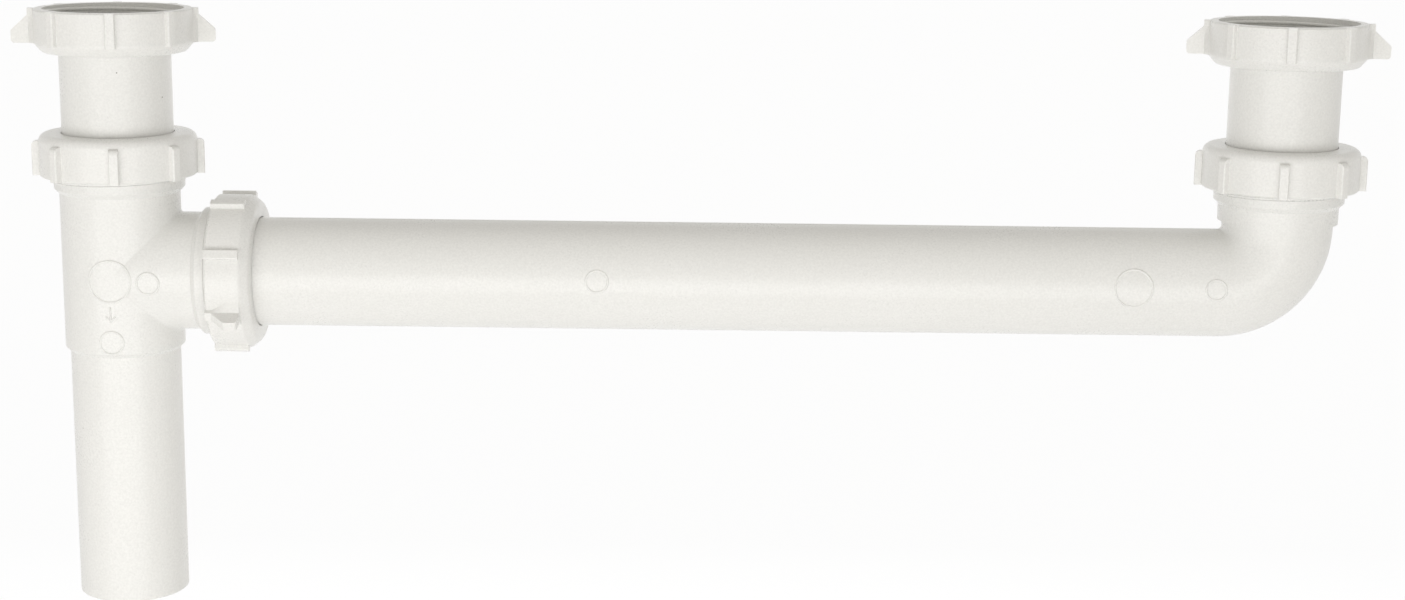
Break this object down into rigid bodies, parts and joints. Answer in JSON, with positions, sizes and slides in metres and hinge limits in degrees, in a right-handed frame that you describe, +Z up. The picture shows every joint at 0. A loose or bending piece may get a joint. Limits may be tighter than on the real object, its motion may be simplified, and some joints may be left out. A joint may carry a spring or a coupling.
{
  "type": "waste connector",
  "caption": "White plastic waste connector: flanged tailpieces with winged sink nuts, a long arm with an elbow, and an end outlet tee with a plain spigot.",
  "frame": {"origin": "centre of the left sink nut's mouth", "axes": "+Z up out of the left sink nut towards the sink, +X along the arm towards the elbow"},
  "size_m": [0.4744, 0.0646, 0.2089],
  "materials": {
    "tee_plastic": "satin moulded white plastic",
    "tube_plastic": "satin moulded white plastic",
    "nut_plastic": "satin moulded white plastic",
    "washer_plastic": "soft natural polyethylene"
  },
  "bodies": {
    "tee": {"end_outlet_tee": "tee_plastic", "tee_spigot": "tee_plastic"},
    "top_washer": {"tee_top_slip_washer": "washer_plastic"},
    "top_nut": {"tee_top_slip_nut": "nut_plastic"},
    "left_tail": {"left_tailpiece": "tube_plastic", "left_flange_washer": "washer_plastic"},
    "left_nut": {"left_sink_nut": "nut_plastic"},
    "side_nut": {"tee_side_slip_nut": "nut_plastic"},
    "side_washer": {"tee_side_slip_washer": "washer_plastic"},
    "arm": {"waste_arm": "tube_plastic", "arm_elbow": "tube_plastic"},
    "elbow_washer": {"elbow_slip_washer": "washer_plastic"},
    "elbow_nut": {"elbow_slip_nut": "nut_plastic"},
    "right_tail": {"right_tailpiece": "tube_plastic", "right_flange_washer": "washer_plastic"},
    "right_nut": {"right_sink_nut": "nut_plastic"}
  },
  "joints": [
    {"name": "top_washer_lift", "type": "slide", "parent": "tee", "child": "top_washer", "axis": [0, 0, 1], "range_m": [0, 0.00773]},
    {"name": "top_nut_turn", "type": "hinge", "parent": "top_washer", "child": "top_nut", "pos_m": [0, 0, -0.0482], "axis": [0, 0, 1], "range_deg": [0, 1260]},
    {"name": "left_tail_slide", "type": "slide", "parent": "tee", "child": "left_tail", "axis": [0, 0, 1], "range_m": [-0.006, 0.01]},
    {"name": "left_nut_turn", "type": "hinge", "parent": "left_tail", "child": "left_nut", "pos_m": [0, 0, 0], "axis": [0, 0, 1], "continuous": true},
    {"name": "side_nut_turn", "type": "hinge", "parent": "tee", "child": "side_nut", "pos_m": [0.0438, 0, -0.092], "axis": [1, 0, 0], "range_deg": [0, 1260]},
    {"name": "arm_swing", "type": "hinge", "parent": "tee", "child": "side_washer", "pos_m": [0.0438, 0, -0.092], "axis": [1, 0, 0], "continuous": true},
    {"name": "arm_slide", "type": "slide", "parent": "side_washer", "child": "arm", "axis": [1, 0, 0], "range_m": [-0.006, 0.01]},
    {"name": "elbow_washer_lift", "type": "slide", "parent": "arm", "child": "elbow_washer", "axis": [0, 0, 1], "range_m": [0, 0.00773]},
    {"name": "elbow_nut_turn", "type": "hinge", "parent": "elbow_washer", "child": "elbow_nut", "pos_m": [0.4064, 0, -0.0482], "axis": [0, 0, 1], "range_deg": [0, 1260]},
    {"name": "right_tail_slide", "type": "slide", "parent": "arm", "child": "right_tail", "axis": [0, 0, 1], "range_m": [-0.006, 0.01]},
    {"name": "right_nut_turn", "type": "hinge", "parent": "right_tail", "child": "right_nut", "pos_m": [0.4064, 0, 0], "axis": [0, 0, 1], "continuous": true}
  ],
  "couplings": [
    {"joint": "top_washer_lift", "follows": "top_nut_turn", "m_per_rad": 0.00035152},
    {"joint": "elbow_washer_lift", "follows": "elbow_nut_turn", "m_per_rad": 0.00035152}
  ]
}
